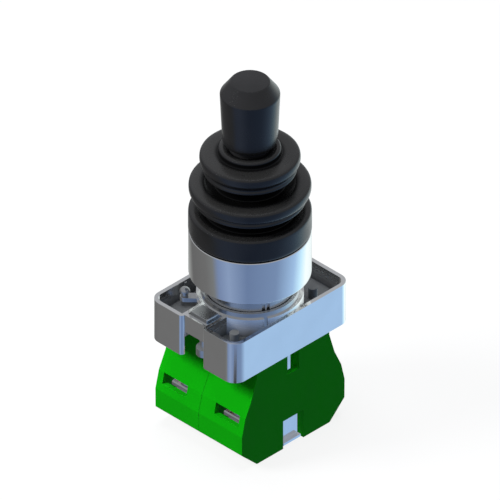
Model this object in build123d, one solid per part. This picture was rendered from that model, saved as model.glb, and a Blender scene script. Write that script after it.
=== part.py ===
from build123d import *
import math
import os

os.makedirs("parts", exist_ok=True)

# Two-direction panel joystick. Millimetres, +Z towards the operator, origin on the axis of the
# panel hole at the front face of the panel. +X is the tipping direction, +Y runs along the long
# side of the collar.

# Fits
static_fit = 0.02
running_fit = 0.04
loose_gap = 0.15
contact_gap = 0.06
through = 60.0

# Tipping lever
pivot_z = 8.0
tilt_deg = 15.0
pusher_wall_gap = 0.25

# Neck through the panel hole and the cup above it
neck_r = 11.0
neck_wall = 1.4
neck_end_gap = 0.4
cup_step = 1.2
cup_floor = 0.4
cup_top_drop = 0.9
bead_share = 0.3
bead_rise = 2.0
bead_height = 1.6
ear_half_x = 3.6
ear_rise = 4.5
ear_gap = 0.2
ledge_width = 0.7
ledge_height = 2.8
lug_half_x = 2.5
lug_length = 3.6
key_slot_top_z = -3.3
key_slot_width = 0.8
key_slot_depth = 0.5
key_slot_angles = (-27.5, -21.0)

# Bezel and panel gasket
boot_overhang = 0.05
bezel_height = 12.2
bezel_floor = 3.0
bezel_edge_r = 0.35
bezel_cup_gap = 0.05
gasket_width = 2.1
gasket_height = 0.8

# Guide plate
guide_plate_z = -5.2
guide_plate_height = 1.4
guide_screw_inset = 2.0
guide_screw_r = 0.8
guide_screw_head_r = 1.5
guide_screw_head_height = 0.9
guide_screw_depth = 2.2
guide_screw_hole_extra = 0.2
guide_screw_slot = 0.4

# Pushers and centring springs
pusher_r = 1.2
pusher_head_r = 1.85
pusher_head_height = 1.5
centring_coil_r = 1.6
centring_wire_r = 0.2
centring_turns = 7

# Rocker, pivot pin and bushes
pin_r = 1.5
pin_inset = 0.15
pin_chamfer = 0.25
bush_r = 2.3
bush_inner_y = 3.0
bush_flange_r = 3.2
bush_flange = 0.4
hub_r = 4.4
hub_half_y = 5.6
rocker_arm_half_y = 2.6
rocker_arm_below = 3.0
rocker_arm_above = 1.0
pad_r = 1.6
pad_drop = 1.9
socket_r = 5.2
socket_rise = 11.0
roll_pin_r = 0.8
roll_pin_bore_r = 0.4
roll_pin_rise = 8.0
roll_pin_inset = 0.2

# Lever shaft, lip sleeve, nut and handle
shaft_r = 3.5
shaft_rise = 5.0
thread_r = 3.0
thread_start_drop = 1.8
thread_end_gap = 0.4
thread_inset = 1.0
nut_flats = 10.0
nut_height = 3.0
nut_lip_gap = 2.2
sleeve_r = 5.2
handle_gap = 1.2
handle_bottom_r = 7.0
handle_top_r = 7.45
handle_side_height = 14.2
handle_chamfer_height = 3.7
handle_flat_r = 5.05
handle_edge_r = 0.5
insert_r = 4.2
insert_height = 12.4

# Boot
boot_wall = 1.0
boot_base_r = 15.2
boot_base_wall = 2.23
boot_base_height = 6.3
boot_base_edge_r = 1.8
boot_low_neck_r = 11.4
boot_low_neck_rise = 1.7
boot_fold_step = 0.1
boot_low_fold_rise = 3.8
boot_mid_neck_r = 9.0
boot_mid_neck_rise = 4.9
boot_mid_neck_height = 0.9
boot_top_fold_r = 12.45
boot_top_fold_rise = 2.6
boot_fold_side = 1.3
boot_fold_rim_inset = 1.4
boot_fold_rim_drop = 1.5
boot_fold_shoulder_inset = 1.2
boot_fold_shoulder_rise = 1.0
boot_neck_flare = 0.8
boot_neck_flare_rise = 1.1
boot_groove_r = 8.8
boot_groove_rise = 2.3
boot_lip_r = 7.4
boot_lip_height = 1.4
boot_lip_grip = 1.4
stiffener_cover = 1.0
stiffener_wall = 0.5
stiffener_rise = 0.8
stiffener_top_gap = 1.9

# Fixing collar
collar_half_x = 15.0
collar_half_y = 20.2
collar_corner_r = 3.4
collar_top_z = -5.9
collar_height = 11.7
collar_wall = 1.1
collar_depth = 5.1
collar_floor = 1.2
ring_wall = 1.05
ring_drop = 1.0
rib_y = 8.7
rib_half_width = 0.4
rib_depth = 0.5
rib_top_drop = 0.4
post_x = 8.2
post_y = 13.6
post_r = 1.2
post_height = 3.0
ring_notch_angle = -27.5
ring_notch_width = 0.9
ring_notch_depth = 4.0
channel_half_x = 3.3
recess_margin = 0.2
recess_depth = 1.1
recess_edge_r = 1.0
recess_height = 5.0

# Lock ring, a bayonet that turns round the neck
lock_ring_wall = 0.85
lock_ring_rise = 0.9
lock_ring_foot_gap = 0.05
tooth_depth = 0.65
tooth_rise = 1.6
tooth_height = 1.4
tooth_deg = 18.0
tooth_entry_deg = 22.0
tooth_count = 3
lock_turn_deg = 22.0
arm_inset = 2.0
arm_end_y = 10.7
arm_rise = 1.4
arm_height = 1.2
arm_width = 2.4
arm_window_gap = 0.3
knob_r = 0.9
knob_head_r = 1.3
knob_height = 1.6
knob_dome_drop = 0.4

# Clamp screw and foot
clamp_screw_r = 1.3
clamp_head_r = 2.2
clamp_head_lift = 0.2
clamp_head_height = 2.1
clamp_slot_width = 0.9
clamp_slot_depth = 1.0
clamp_boss_rise = 0.6
clamp_boss_height = 2.1
foot_height = 1.2
foot_side_gap = 0.4
foot_ring_gap = 0.5
foot_leg = 0.8
foot_leg_gap = 0.6
foot_edge_r = 0.4

# Contact blocks: half length at each depth below the collar
block_gap = 0.05
block_wall = 1.3
block_points = ((12.5, 0.0), (12.5, 0.7), (14.3, 6.7), (16.6, 11.6), (17.8, 16.6),
                (17.75, 22.1), (12.6, 27.05))
block_edge_r = 0.6
core_half_y = 4.2
core_gap = 0.6
slot_width = 8.2
slot_depth = 11.6
slot_height = 3.0
bottom_notch_half_y = 3.5
bottom_notch_height = 8.25
top_notch_margin = 0.2
top_notch_height = 5.5
notch_depth = 2.0

# Block covers
cover_inner_x = 0.3
cover_clip_gap = 0.3
cover_end_gap = 7.9
cover_wall = 1.1
cover_plug = 1.5
plug_wall = 1.0
guide_tube_wall = 0.55
guide_tube_gap = 0.56

# Plungers
plunger_sink = 2.1
stem_r = 2.2
plunger_half_x = 2.8
plunger_half_y = 2.6
plunger_foot = 0.8
window_half_x = 1.9
window_height = 3.7
window_cap = 0.8

# Contacts
strip_height = 1.0
strip_step_gap = 0.1
strip_end = 2.1
strip_half_x = 2.0
terminal_half_x = 3.8
rivet_y = 4.9
rivet_r = 1.4
rivet_height = 0.6
rivet_edge = 0.1
bridge_side_gap = 0.2
bridge_height = 0.6
bridge_coil_r = 1.2
bridge_wire_r = 0.2
bridge_turns = 4
return_coil_r = 2.0
return_wire_r = 0.2
return_turns = 8
pedestal_r = 3.0
pedestal_height = 6.65
pedestal_pin_r = 1.2
pedestal_pin_height = 2.0

# Terminals
terminal_inset_x = 6.0
terminal_inset_y = 4.2
terminal_screw_r = 1.7
terminal_screw_end = 1.8
terminal_head_r = 2.8
terminal_head_height = 2.3
terminal_slot_width = 0.8
terminal_slot_depth = 0.9
saddle_half_x = 3.5
saddle_half_y = 2.2
saddle_height = 1.1
saddle_edge = 0.3
saddle_gap = 0.1
access_gap = 0.25
partition_gap = 0.2
partition_wall = 0.6

# Latch clips
clip_wall_gap = 0.5
clip_thickness = 0.8
clip_half_y = 1.8
clip_neck_half_y = 0.65
clip_foot_half_y = 3.0
clip_top_drop = 0.8
clip_foot_gap = 0.35
clip_hook = 0.9
clip_hook_drop = 1.5
clip_hook_height = 1.2
clip_tab = 1.2
clip_tab_height = 0.8
clip_gap = 0.1

# Radii that follow from the ones above
neck_bore_r = neck_r - neck_wall
cup_r = boot_base_r - boot_base_wall - static_fit
cup_bore_r = neck_bore_r + cup_step
bead_r = cup_r - bead_share * (cup_r - cup_bore_r)
bezel_r = boot_base_r - boot_overhang
bezel_bore_r = cup_r + bezel_cup_gap
gasket_inner_r = (neck_r + bezel_r - gasket_width) / 2
gasket_outer_r = gasket_inner_r + gasket_width
ledge_bore_r = neck_bore_r - ledge_width
lug_inner_y = neck_bore_r - lug_length
guide_screw_y = neck_bore_r - guide_screw_inset
pad_x = neck_bore_r - pusher_head_r - pusher_wall_gap
ear_inner_y = hub_half_y + bush_flange + ear_gap
pin_half_length = cup_r - pin_inset
boot_low_fold_r = boot_base_r - boot_fold_step
stiffener_outer_r = boot_base_r - stiffener_cover
stiffener_inner_r = stiffener_outer_r - stiffener_wall
collar_bore_r = neck_r + loose_gap
lock_ring_r = collar_bore_r + lock_ring_wall
ring_bore_r = lock_ring_r + loose_gap
ring_r = ring_bore_r + ring_wall
tooth_r = neck_r - tooth_depth
groove_r = tooth_r - loose_gap
arm_end_x = collar_half_x - collar_wall - arm_inset
arm_angle = math.degrees(math.atan2(-arm_end_y, -arm_end_x))
arm_end_r = math.hypot(arm_end_x, arm_end_y)
guide_tube_r = stem_r + loose_gap + guide_tube_wall
access_r = terminal_head_r + access_gap

# Heights that follow, from the operator's side down
boot_base_top_z = bezel_height + boot_base_height
boot_low_neck_z = boot_base_top_z + boot_low_neck_rise
boot_low_fold_z = boot_low_neck_z + boot_low_fold_rise
boot_mid_neck_z = boot_low_fold_z + boot_mid_neck_rise
boot_top_fold_z = boot_mid_neck_z + boot_mid_neck_height + boot_top_fold_rise
boot_lip_z = boot_top_fold_z + boot_fold_side + boot_groove_rise
boot_lip_top_z = boot_lip_z + boot_lip_height
handle_bottom_z = boot_lip_top_z + handle_gap
handle_shoulder_z = handle_bottom_z + handle_side_height
handle_top_z = handle_shoulder_z + handle_chamfer_height
insert_top_z = handle_bottom_z + insert_height
thread_top_z = insert_top_z - thread_inset
nut_z = boot_lip_z - boot_lip_grip - nut_lip_gap - nut_height
shaft_step_z = nut_z - thread_start_drop
stiffener_z = bezel_height + stiffener_rise
stiffener_height = boot_base_top_z - stiffener_top_gap - stiffener_z
cup_floor_z = bezel_floor + cup_floor
cup_top_z = boot_base_top_z - cup_top_drop
bead_z = bezel_height + bead_rise
ear_top_z = pivot_z + ear_rise
rocker_arm_bottom_z = pivot_z - rocker_arm_below
rocker_arm_top_z = pivot_z + rocker_arm_above
pad_centre_z = pivot_z - pad_drop
socket_top_z = pivot_z + socket_rise
roll_pin_z = pivot_z + roll_pin_rise
shaft_bottom_z = pivot_z + shaft_rise
pad_bottom_z = pad_centre_z - pad_r
pusher_top_z = pad_bottom_z - contact_gap
pusher_head_z = pusher_top_z - pusher_head_height
pusher_travel = pad_x * math.sin(math.radians(tilt_deg))
guide_top_z = guide_plate_z + guide_plate_height
lock_top_z = collar_top_z + lock_ring_rise
ring_top_z = lock_top_z - ring_drop
collar_floor_z = collar_top_z - collar_depth
collar_bottom_z = collar_top_z - collar_height
window_top_z = collar_top_z - recess_height
tooth_bottom_z = collar_floor_z + tooth_rise
arm_bottom_z = collar_floor_z + arm_rise
clamp_boss_bottom_z = collar_floor_z + clamp_boss_rise
clamp_boss_top_z = clamp_boss_bottom_z + clamp_boss_height
clamp_head_z = collar_bottom_z + clamp_head_lift
foot_top_z = lock_top_z
foot_leg_bottom_z = clamp_boss_top_z + foot_leg_gap
cover_top_z = collar_floor_z - collar_floor
neck_bottom_z = cover_top_z + neck_end_gap
plunger_top_z = cover_top_z - plunger_sink
block_z = collar_bottom_z
block_bottom_z = block_z - block_points[-1][1]
slot_top_z = block_z - slot_depth
saddle_z = slot_top_z - slot_height - saddle_gap - saddle_height
terminal_screw_top_z = slot_top_z + terminal_screw_end
bridge_z = slot_top_z + strip_height + 2 * rivet_height + pusher_travel + contact_gap
stem_bottom_z = bridge_z + window_height + window_cap
guide_tube_bottom_z = stem_bottom_z + pusher_travel + guide_tube_gap
plunger_bottom_z = slot_top_z - plunger_foot
pedestal_top_z = block_bottom_z + pedestal_height
bottom_notch_z = block_bottom_z + bottom_notch_height
top_notch_z = block_z - top_notch_height
clip_top_z = cover_top_z - clip_top_drop
clip_bottom_z = block_bottom_z + clip_foot_gap
clip_hook_z = clip_top_z - clip_hook_drop
clip_foot_top_z = bottom_notch_z - clip_gap

# Lengths and places that follow
inner_end_y = collar_half_y - recess_depth - collar_wall
clamp_y = -(ring_r + inner_end_y) / 2
foot_half_x = channel_half_x - foot_side_gap
foot_back_y = -ring_r - foot_ring_gap
block_outer_x = collar_half_x
block_width = block_outer_x - block_gap
clip_x = collar_half_x - collar_wall - clip_wall_gap - clip_thickness
core_outer_x = clip_x - core_gap
cover_outer_x = clip_x - cover_clip_gap
cover_half_y = collar_half_y - cover_end_gap
top_notch_half_y = clip_half_y + top_notch_margin
terminal_x = block_outer_x - terminal_inset_x
terminal_y = block_points[3][0] - terminal_inset_y
slot_x = terminal_x - slot_width / 2
partition_y = terminal_y - terminal_head_r - partition_gap - partition_wall
strip_step_y = partition_y + strip_step_gap
strip_end_y = terminal_y + strip_end
strip_tip_y = rivet_y - rivet_r + rivet_edge
bridge_half_x = window_half_x - bridge_side_gap
bridge_half_y = rivet_y + rivet_r - rivet_edge


# Shape helpers
def rod(r, z0, z1, x=0.0, y=0.0):
    return Pos(x, y, z0) * Cylinder(r, z1 - z0, align=(Align.CENTER, Align.CENTER, Align.MIN))


def tube(r_out, r_in, z0, z1, x=0.0, y=0.0):
    return rod(r_out, z0, z1, x, y) - rod(r_in, z0 - through, z1 + through, x, y)


def block_between(x0, x1, y0, y1, z0, z1):
    centre = Pos((x0 + x1) / 2, (y0 + y1) / 2, (z0 + z1) / 2)
    return centre * Box(abs(x1 - x0), abs(y1 - y0), abs(z1 - z0))


def rod_along_y(r, y0, y1, x, z):
    return Pos(x, (y0 + y1) / 2, z) * Rot(90, 0, 0) * Cylinder(r, y1 - y0)


def rod_along_x(r, half_length, z):
    return Pos(0, 0, z) * Rot(0, 90, 0) * Cylinder(r, 2 * half_length)


def sector(r, z0, z1, middle_deg, width_deg):
    """A pie slice of a disc, centred on an angle about Z."""
    half = math.radians(width_deg / 2)
    reach = 2 * r
    corners = [(0, 0), (reach, -reach * math.tan(half)), (reach, reach * math.tan(half))]
    slice_face = make_face(Polyline(*corners, close=True))
    slab = Pos(0, 0, z0) * extrude(slice_face, z1 - z0)
    return Rot(0, 0, middle_deg) * (slab & rod(r, z0, z1))


def radial_box(r0, r1, width, z0, z1, angle_deg):
    return Rot(0, 0, angle_deg) * block_between(r0, r1, -width / 2, width / 2, z0, z1)


def coil_spring(coil_r, wire_r, z0, z1, turns, x=0.0, y=0.0):
    """A helical spring whose wire lies just inside z0 and z1."""
    height = z1 - z0 - 2 * (wire_r + static_fit)
    path = Helix(pitch=height / turns, height=height, radius=coil_r)
    section = Plane(path @ 0, z_dir=path % 0) * Circle(wire_r)
    return Pos(x, y, z0 + wire_r + static_fit) * sweep(section, path, is_frenet=True)


def mirrored(shape, side):
    """The shape as built for the +X side, or its mirror image for the -X side."""
    return shape if side > 0 else mirror(shape, Plane.YZ)


def turned(points):
    """A solid of revolution about Z from (radius, z) points."""
    outline = make_face(Polyline(*[(r, 0, z) for r, z in points], close=True))
    return revolve(outline, Axis.Z)


def save(shape, node):
    if isinstance(shape, (list, tuple)):
        shape = Compound(children=list(shape))
    export_step(shape, os.path.join("parts", node + ".step"))


# Head
def bezel_ring():
    ring = rod(bezel_r, 0, bezel_height)
    ring -= rod(bezel_bore_r, bezel_floor, bezel_height + 1)
    ring -= rod(neck_r + static_fit, -1, bezel_floor + 1)
    ring -= tube(gasket_outer_r, gasket_inner_r, -1, gasket_height)
    rim = ring.edges().filter_by(GeomType.CIRCLE).sort_by(Axis.Z)[-2:]
    outer_rim = rim.sort_by(SortBy.RADIUS)[-1]
    return fillet(outer_rim, bezel_edge_r)


def panel_gasket():
    return tube(gasket_outer_r - static_fit, gasket_inner_r + static_fit, 0, gasket_height)


def head_body():
    body = rod(neck_r, neck_bottom_z, bezel_floor)
    body += rod(cup_r, bezel_floor, cup_top_z)
    body -= rod(neck_bore_r, neck_bottom_z - 1, cup_floor_z + 1)
    body -= rod(cup_bore_r, cup_floor_z, cup_top_z + 1)
    ledge_bottom_z = guide_plate_z - ledge_height
    body += tube(neck_bore_r + static_fit, ledge_bore_r, ledge_bottom_z, guide_plate_z)
    for side in (1, -1):
        near, far = sorted((side * lug_inner_y, side * neck_bore_r))
        lug = block_between(-lug_half_x, lug_half_x, near, far, ledge_bottom_z, guide_plate_z)
        body += lug & rod(neck_bore_r + static_fit, ledge_bottom_z, guide_plate_z)
        hole_z = guide_plate_z - guide_screw_depth - guide_screw_hole_extra
        body -= rod(guide_screw_r + static_fit, hole_z, guide_top_z, 0, side * guide_screw_y)
        near, far = sorted((side * ear_inner_y, side * (cup_bore_r + 0.5)))
        ear = block_between(-ear_half_x, ear_half_x, near, far, cup_floor_z, ear_top_z)
        body += ear & rod(cup_bore_r + 0.5, cup_floor_z, ear_top_z)
    body -= rod_along_y(pin_r + static_fit, -cup_r - 1, cup_r + 1, 0, pivot_z)
    body -= tube(cup_r + 1, bead_r, bead_z, bead_z + bead_height)
    groove_z = tooth_bottom_z - loose_gap
    groove_top_z = tooth_bottom_z + tooth_height + loose_gap
    body -= tube(neck_r + 1, groove_r, groove_z, groove_top_z)
    entry = tube(neck_r + 1, groove_r, neck_bottom_z - 1, groove_top_z)
    for i in range(tooth_count):
        entry_angle = arm_angle + lock_turn_deg + i * 360 / tooth_count
        body -= entry & sector(neck_r + 1, neck_bottom_z - 1, groove_top_z, entry_angle,
                               tooth_entry_deg)
    for angle in key_slot_angles:
        body -= radial_box(neck_r - key_slot_depth, neck_r + 1, key_slot_width, ring_top_z,
                           key_slot_top_z, angle)
    return body


def pivot_pin():
    pin = rod_along_y(pin_r, -pin_half_length, pin_half_length, 0, pivot_z)
    return chamfer(pin.edges().filter_by(GeomType.CIRCLE), pin_chamfer)


def guide_plate():
    plate = rod(neck_bore_r - static_fit, guide_plate_z, guide_top_z)
    for side in (1, -1):
        plate -= rod(pusher_r + running_fit, guide_plate_z - 1, guide_top_z + 1, side * pad_x, 0)
        plate -= rod(guide_screw_r + running_fit, guide_plate_z - 1, guide_top_z + 1,
                     0, side * guide_screw_y)
    return plate


def guide_plate_screws():
    screws = []
    for side in (1, -1):
        y = side * guide_screw_y
        head_top_z = guide_top_z + guide_screw_head_height
        screw = rod(guide_screw_r, guide_plate_z - guide_screw_depth, guide_top_z, 0, y)
        screw += rod(guide_screw_head_r, guide_top_z, head_top_z, 0, y)
        screw -= block_between(-through, through, y - guide_screw_slot / 2,
                               y + guide_screw_slot / 2, head_top_z - guide_screw_slot,
                               through)
        screws.append(screw)
    return screws


def head_pusher(side):
    pusher = rod(pusher_r, plunger_top_z + contact_gap, pusher_top_z, side * pad_x, 0)
    return pusher + rod(pusher_head_r, pusher_head_z, pusher_top_z, side * pad_x, 0)


def centring_spring(side):
    return coil_spring(centring_coil_r, centring_wire_r, guide_top_z, pusher_head_z,
                       centring_turns, side * pad_x, 0)


# Lever
def arm_side_view():
    """The rocker's two arms with their rounded pads, seen along Y."""
    bar_centre_z = (rocker_arm_top_z + rocker_arm_bottom_z) / 2
    view = Pos(0, bar_centre_z) * Rectangle(2 * pad_x, rocker_arm_top_z - rocker_arm_bottom_z)
    for side in (1, -1):
        tip_centre_z = (rocker_arm_top_z + pad_centre_z) / 2
        view += Pos(side * pad_x, tip_centre_z) * Rectangle(2 * pad_r, rocker_arm_top_z - pad_centre_z)
        view += Pos(side * pad_x, pad_centre_z) * Circle(pad_r)
    return view


def rocker():
    body = rod_along_y(hub_r, -hub_half_y, hub_half_y, 0, pivot_z)
    body += extrude(Plane.XZ * arm_side_view(), rocker_arm_half_y, both=True)
    body += rod(socket_r, pivot_z, socket_top_z)
    body -= rod(shaft_r + static_fit, shaft_bottom_z, socket_top_z + 1)
    body -= rod_along_y(bush_r + static_fit, -through, through, 0, pivot_z)
    return body - rod_along_x(roll_pin_r + static_fit, through, roll_pin_z)


def rocker_roll_pin():
    pin = rod_along_x(roll_pin_r, socket_r - roll_pin_inset, roll_pin_z)
    return pin - rod_along_x(roll_pin_bore_r, through, roll_pin_z)


def pivot_bushes():
    bushes = []
    for side in (1, -1):
        flange_y = hub_half_y + bush_flange
        near, far = sorted((side * bush_inner_y, side * flange_y))
        bush = rod_along_y(bush_r, near, far, 0, pivot_z)
        near, far = sorted((side * hub_half_y, side * flange_y))
        bush += rod_along_y(bush_flange_r, near, far, 0, pivot_z)
        bush -= rod_along_y(pin_r + running_fit, -through, through, 0, pivot_z)
        bushes.append(bush)
    return bushes


def lever_shaft():
    shaft = rod(shaft_r, shaft_bottom_z, shaft_step_z) + rod(thread_r, shaft_step_z, thread_top_z)
    shaft -= rod_along_x(roll_pin_r + static_fit, through, roll_pin_z)
    top_edge = shaft.edges().filter_by(GeomType.CIRCLE).sort_by(Axis.Z)[-1]
    return chamfer(top_edge, 0.5)


def handle_lock_nut():
    hexagon = RegularPolygon(nut_flats / 2, 6, major_radius=False)
    nut = Pos(0, 0, nut_z) * extrude(hexagon, nut_height)
    return nut - rod(thread_r + static_fit, nut_z - 1, nut_z + nut_height + 1)


def lip_sleeve():
    return tube(sleeve_r, thread_r + static_fit, nut_z + nut_height, handle_bottom_z)


def handle_grip():
    grip = turned([(0, handle_bottom_z), (handle_bottom_r, handle_bottom_z),
                   (handle_top_r, handle_shoulder_z), (handle_flat_r, handle_top_z),
                   (0, handle_top_z)])
    grip = fillet(grip.edges().filter_by(GeomType.CIRCLE), handle_edge_r)
    return grip - rod(insert_r + static_fit, handle_bottom_z - 1, insert_top_z)


def handle_insert():
    insert = rod(insert_r, handle_bottom_z, insert_top_z)
    return insert - rod(thread_r + static_fit, handle_bottom_z - 1, thread_top_z + thread_end_gap)


# Boot
def fold_points(fold_r, fold_z, inset):
    """The rim, the upright side and the shoulder of one bellows fold."""
    return [(fold_r - boot_fold_rim_inset - inset, fold_z - boot_fold_rim_drop),
            (fold_r - inset, fold_z),
            (fold_r - inset, fold_z + boot_fold_side),
            (fold_r - boot_fold_shoulder_inset - inset,
             fold_z + boot_fold_side + boot_fold_shoulder_rise)]


def boot_outline(inset):
    """Points of the bellows from the base ring up to the lip, pulled in by the given wall."""
    neck_top_z = boot_mid_neck_z + boot_mid_neck_height
    points = [(boot_low_neck_r - inset, boot_low_neck_z)]
    points += fold_points(boot_low_fold_r, boot_low_fold_z, inset)
    points += [(boot_mid_neck_r + boot_neck_flare - inset, boot_mid_neck_z - boot_neck_flare_rise),
               (boot_mid_neck_r - inset, boot_mid_neck_z),
               (boot_mid_neck_r - inset, neck_top_z)]
    return points + fold_points(boot_top_fold_r, boot_top_fold_z, inset)


def boot():
    base_bore_r = cup_r + static_fit
    base = tube(boot_base_r, base_bore_r, bezel_height, boot_base_top_z)
    top_edge = base.edges().filter_by(GeomType.CIRCLE).group_by(Axis.Z)[-1]
    base = fillet(top_edge.sort_by(SortBy.RADIUS)[-1], boot_base_edge_r)
    grip_r = sleeve_r + static_fit
    skin = [(base_bore_r + boot_wall, boot_base_top_z - boot_wall),
            (base_bore_r + boot_wall, boot_base_top_z)]
    skin += boot_outline(0.0)
    skin += [(boot_groove_r, boot_lip_z), (boot_lip_r, boot_lip_z), (boot_lip_r, boot_lip_top_z),
             (grip_r, boot_lip_top_z), (grip_r, boot_lip_z - boot_lip_grip)]
    skin += list(reversed(boot_outline(boot_wall)))
    skin += [(base_bore_r, boot_base_top_z - boot_wall / 2),
             (base_bore_r, boot_base_top_z - boot_wall)]
    body = base + turned(skin)
    body += tube(base_bore_r + boot_wall / 2, bead_r + static_fit, bead_z + static_fit,
                 bead_z + bead_height - static_fit)
    return body - tube(stiffener_outer_r, stiffener_inner_r, stiffener_z,
                       stiffener_z + stiffener_height)


def boot_stiffener():
    return tube(stiffener_outer_r - static_fit, stiffener_inner_r + static_fit,
                stiffener_z + static_fit, stiffener_z + stiffener_height - static_fit)


# Fixing collar
def rounded_slab(inset, z0, z1):
    corner = max(collar_corner_r - inset, 0.5)
    face = RectangleRounded(2 * (collar_half_x - inset), 2 * (collar_half_y - inset), corner)
    return Pos(0, 0, z0) * extrude(face, z1 - z0)


def collar_channel():
    """Walls, front and threaded boss of the channel at the -Y end, as added material."""
    wall_x = channel_half_x + collar_wall
    ring_middle_r = (ring_bore_r + ring_r) / 2
    walls = block_between(-wall_x, wall_x, -collar_half_y + collar_wall / 2, 0, cover_top_z,
                          collar_top_z)
    walls -= rod(ring_middle_r, cover_top_z - 1, collar_top_z + 1)
    walls -= block_between(-channel_half_x, channel_half_x, -inner_end_y, 0,
                           cover_top_z - 1, collar_top_z + 1)
    boss = block_between(-channel_half_x, channel_half_x, -inner_end_y, -ring_middle_r,
                         clamp_boss_bottom_z, clamp_boss_top_z)
    boss -= rod(clamp_screw_r + running_fit, clamp_boss_bottom_z - 1, clamp_boss_top_z + 1,
                0, clamp_y)
    return walls + boss


def recess_cut():
    """The shallow recess in the -Y end and the window below it."""
    front_y = -collar_half_y + recess_depth
    recess_x = channel_half_x + recess_margin
    recess = block_between(-recess_x, recess_x, -collar_half_y - 1,
                           front_y, collar_bottom_z - 1, collar_top_z + 1)
    window = block_between(-channel_half_x, channel_half_x, -collar_half_y - 1,
                           -ring_r - loose_gap, collar_bottom_z - 1, window_top_z)
    return recess + window


def collar_frame():
    frame = rounded_slab(0, collar_bottom_z, collar_top_z)
    frame -= rounded_slab(collar_wall, collar_floor_z, collar_top_z + 1)
    frame -= rounded_slab(collar_wall, collar_bottom_z - 1, cover_top_z)
    frame += rod(ring_r, cover_top_z, ring_top_z)
    frame += collar_channel()
    frame -= rod(collar_bore_r, cover_top_z - through, collar_top_z + through)
    frame -= rod(ring_bore_r, collar_floor_z, collar_top_z + through)
    for side, end in ((1, 1), (1, -1), (-1, 1)):
        frame += rod(post_r, collar_floor_z, collar_floor_z + post_height,
                     side * post_x, end * post_y)
    for side in (1, -1):
        for end in (1, -1):
            frame += block_between(side * (collar_half_x - collar_wall - rib_depth),
                                   side * (collar_half_x - collar_wall / 2),
                                   end * rib_y - rib_half_width, end * rib_y + rib_half_width,
                                   collar_floor_z, collar_top_z - rib_top_drop)
    frame -= recess_cut()
    frame -= lock_arm_window()
    frame -= radial_box(ring_bore_r - loose_gap, ring_r + loose_gap, ring_notch_width,
                        ring_top_z - ring_notch_depth, lock_top_z, ring_notch_angle)
    for side in (1, -1):
        frame -= clip_pocket(side)
    corners = frame.edges().filter_by(Axis.Z).filter_by_position(
        Axis.Y, -collar_half_y - 0.01, -collar_half_y + 0.01)
    corners = corners.filter_by_position(Axis.X, -channel_half_x - 1, channel_half_x + 1)
    return fillet(corners, recess_edge_r)


def lock_arm_window():
    """The slot in the collar's ring that the lock ring's arm turns in."""
    half_deg = math.degrees(math.asin((arm_width / 2 + arm_window_gap) / ring_bore_r))
    sweep_deg = lock_turn_deg + 2 * half_deg
    middle = arm_angle + lock_turn_deg / 2
    band = tube(ring_r + loose_gap, ring_bore_r - loose_gap, arm_bottom_z - arm_window_gap,
                arm_bottom_z + arm_height + arm_window_gap)
    return band & sector(ring_r + 1, arm_bottom_z - 1, arm_bottom_z + arm_height + 1, middle,
                         sweep_deg)


def clip_pocket(side):
    wall_x = collar_half_x - collar_wall
    pocket = block_between(wall_x - clip_gap, clip_x + clip_thickness + clip_hook + clip_gap,
                           -clip_half_y - clip_gap, clip_half_y + clip_gap,
                           clip_hook_z - clip_gap, clip_hook_z + clip_hook_height + clip_gap)
    return mirrored(pocket, side)


# Lock ring
def lock_ring():
    bottom_z = collar_floor_z + lock_ring_foot_gap
    ring = tube(lock_ring_r, collar_bore_r, bottom_z, lock_top_z)
    ring_middle_r = (lock_ring_r + collar_bore_r) / 2
    tooth_band = tube(ring_middle_r, tooth_r, tooth_bottom_z, tooth_bottom_z + tooth_height)
    for i in range(tooth_count):
        ring += tooth_band & sector(collar_bore_r + 1, tooth_bottom_z - 1,
                                    tooth_bottom_z + tooth_height + 1,
                                    arm_angle + i * 360 / tooth_count, tooth_deg)
    arm_top_z = arm_bottom_z + arm_height
    arm = radial_box(ring_middle_r, arm_end_r, arm_width, arm_bottom_z, arm_top_z, arm_angle)
    arm += rod(arm_width / 2, arm_bottom_z, arm_top_z, -arm_end_x, -arm_end_y)
    arm -= rod(knob_r / 2 + static_fit, -through, through, -arm_end_x, -arm_end_y)
    return ring + arm


def lock_knob():
    top_z = arm_bottom_z + arm_height
    dome_z = top_z + knob_height - knob_dome_drop
    knob = rod(knob_r, top_z, dome_z, -arm_end_x, -arm_end_y)
    knob += rod(knob_r / 2, arm_bottom_z, top_z, -arm_end_x, -arm_end_y)
    dome = Pos(-arm_end_x, -arm_end_y, dome_z) * Sphere(knob_head_r)
    return knob + (dome & Pos(0, 0, dome_z) * Box(
        through, through, through, align=(Align.CENTER, Align.CENTER, Align.MIN)))


# Clamp
def clamp_screw():
    head_top_z = clamp_head_z + clamp_head_height
    screw = rod(clamp_head_r, clamp_head_z, head_top_z, 0, clamp_y)
    screw += rod(clamp_screw_r, head_top_z, foot_top_z - foot_height, 0, clamp_y)
    slot = block_between(-through, through, clamp_y - clamp_slot_width / 2,
                         clamp_y + clamp_slot_width / 2, -through, clamp_head_z + clamp_slot_depth)
    return screw - slot


def clamp_foot():
    front_y = -inner_end_y + loose_gap
    foot = block_between(-foot_half_x, foot_half_x, front_y, foot_back_y, foot_leg_bottom_z,
                         foot_top_z)
    foot -= block_between(-foot_half_x + foot_leg, foot_half_x - foot_leg, front_y - 1,
                          foot_back_y + 1, foot_leg_bottom_z - 1, foot_top_z - foot_height)
    top_edges = foot.edges().filter_by(Axis.Y).group_by(Axis.Z)[-1]
    return fillet(top_edges, foot_edge_r)


# Contact blocks, built for the +X side
def block_face():
    right = [(half, block_z - depth) for half, depth in block_points]
    left = [(-y, z) for y, z in reversed(right)]
    return make_face(Plane.YZ * Polyline(*(right + left), close=True))


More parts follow.
